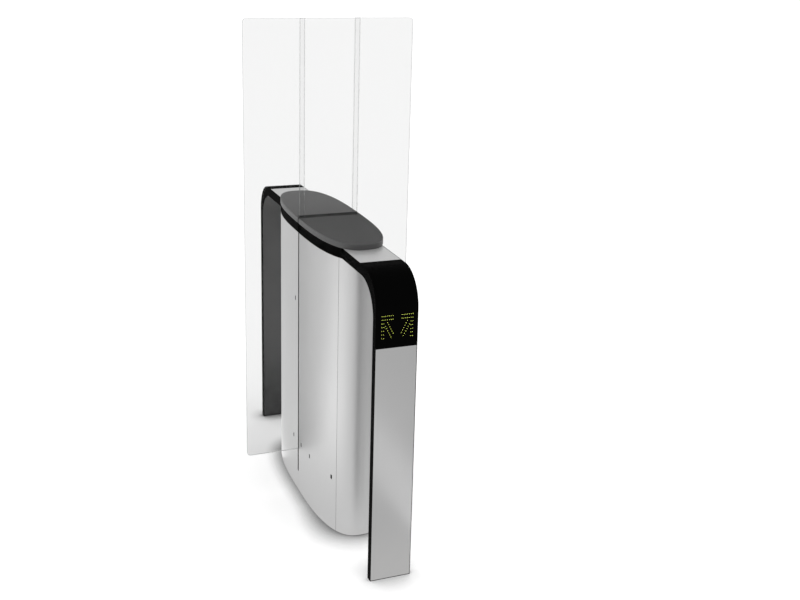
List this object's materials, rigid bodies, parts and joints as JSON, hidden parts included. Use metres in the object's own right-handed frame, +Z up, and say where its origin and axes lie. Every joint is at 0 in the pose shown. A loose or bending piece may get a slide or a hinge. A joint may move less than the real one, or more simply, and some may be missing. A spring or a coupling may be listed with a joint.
{
  "type": "speed gate",
  "caption": "Arch-shaped speed gate: a lens-shaped steel body under a bent beam, with glass wings that slide into it, light arrows and photocells.",
  "frame": {"origin": "on the floor, in the middle of the body", "axes": "+X across the passage, to the right from the front leg; +Y along the body, from the front leg to the rear leg; +Z up"},
  "size_m": [0.636, 1.41, 1.8],
  "materials": {
    "steel_frame": "powder-coated steel",
    "black_metal": "gloss black paint",
    "grey_liner": "satin dark grey paint",
    "brushed_panel": "fine brushed",
    "silver_skin": "satin",
    "black_window": "gloss, smoked",
    "circuit_board": "lacquered board",
    "grey_cover": "satin moulding",
    "rubber": "matte",
    "clear_glass": "polished",
    "dark_lens": "infrared-pass filter",
    "sensor_plastic": "moulded",
    "rail_steel": "ground",
    "clamp_aluminium": "anodised",
    "pulley_aluminium": "turned",
    "motor_paint": "satin black",
    "zinc_sheet": "zinc-plated"
  },
  "bodies": {
    "frame": {"floor_plate": "steel_frame", "cable_grommet": "rubber", "leg_feet": "black_metal", "frame_posts": "steel_frame", "front_crossbeams": "steel_frame", "rear_crossbeams": "steel_frame", "spine_plate": "steel_frame", "spine_brackets": "steel_frame", "pane_shoe": "clamp_aluminium", "centre_pane": "clear_glass", "front_leg_channel": "black_metal", "rear_leg_channel": "black_metal", "front_corner_channel": "black_metal", "rear_corner_channel": "black_metal", "front_deck": "black_metal", "rear_deck": "black_metal", "front_liner": "grey_liner", "rear_liner": "grey_liner", "front_leg_panel": "brushed_panel", "rear_leg_panel": "brushed_panel", "front_top_panel": "brushed_panel", "rear_top_panel": "brushed_panel", "front_display_window": "black_window", "rear_display_window": "black_window", "front_light_board": "circuit_board", "rear_light_board": "circuit_board", "front_cover": "grey_cover", "rear_cover": "grey_cover", "well_seals": "rubber", "left_front_skin": "silver_skin", "left_rear_skin": "silver_skin", "right_front_skin": "silver_skin", "right_rear_skin": "silver_skin", "front_end_cap": "silver_skin", "rear_end_cap": "silver_skin", "slot_seals": "rubber", "photocell_windows": "dark_lens", "photocells": "sensor_plastic", "left_rails": "rail_steel", "right_rails": "rail_steel", "wing_belt": "rubber", "motor_belt": "rubber", "bearing_block": "clamp_aluminium", "idler_bracket": "clamp_aluminium", "gear_motor": "motor_paint", "motor_bracket": "steel_frame", "electronics_tray": "zinc_sheet", "control_board": "circuit_board", "power_supply": "zinc_sheet"},
    "left_wing": {"left_wing_glass": "clear_glass", "left_wing_clamp": "clamp_aluminium", "left_carriages": "rail_steel", "left_belt_clamp": "clamp_aluminium"},
    "right_wing": {"right_wing_glass": "clear_glass", "right_wing_clamp": "clamp_aluminium", "right_carriages": "rail_steel", "right_belt_clamp": "clamp_aluminium"},
    "drive_pulley": {"drive_pulley": "pulley_aluminium"},
    "idler_pulley": {"idler_pulley": "pulley_aluminium"},
    "motor_pulley": {"motor_pulley": "pulley_aluminium"}
  },
  "joints": [
    {"name": "left_wing_slide", "type": "slide", "parent": "frame", "child": "left_wing", "axis": [1, 0, 0], "range_m": [0, 0.172]},
    {"name": "right_wing_slide", "type": "slide", "parent": "frame", "child": "right_wing", "axis": [-1, 0, 0], "range_m": [0, 0.172]},
    {"name": "drive_pulley_spin", "type": "hinge", "parent": "frame", "child": "drive_pulley", "pos_m": [0.101, 0, 0.127], "axis": [0, 0, 1], "range_deg": [0, 880]},
    {"name": "idler_pulley_spin", "type": "hinge", "parent": "frame", "child": "idler_pulley", "pos_m": [-0.101, 0, 0.127], "axis": [0, 0, 1], "range_deg": [0, 880]},
    {"name": "motor_pulley_spin", "type": "hinge", "parent": "frame", "child": "motor_pulley", "pos_m": [0.02, 0.118, 0.085], "axis": [0, 0, 1], "range_deg": [0, 880]}
  ],
  "couplings": [
    {"joint": "right_wing_slide", "follows": "left_wing_slide", "ratio": 1},
    {"joint": "drive_pulley_spin", "follows": "left_wing_slide", "rad_per_m": 88.889},
    {"joint": "idler_pulley_spin", "follows": "left_wing_slide", "rad_per_m": 88.889},
    {"joint": "motor_pulley_spin", "follows": "left_wing_slide", "rad_per_m": 88.889}
  ]
}
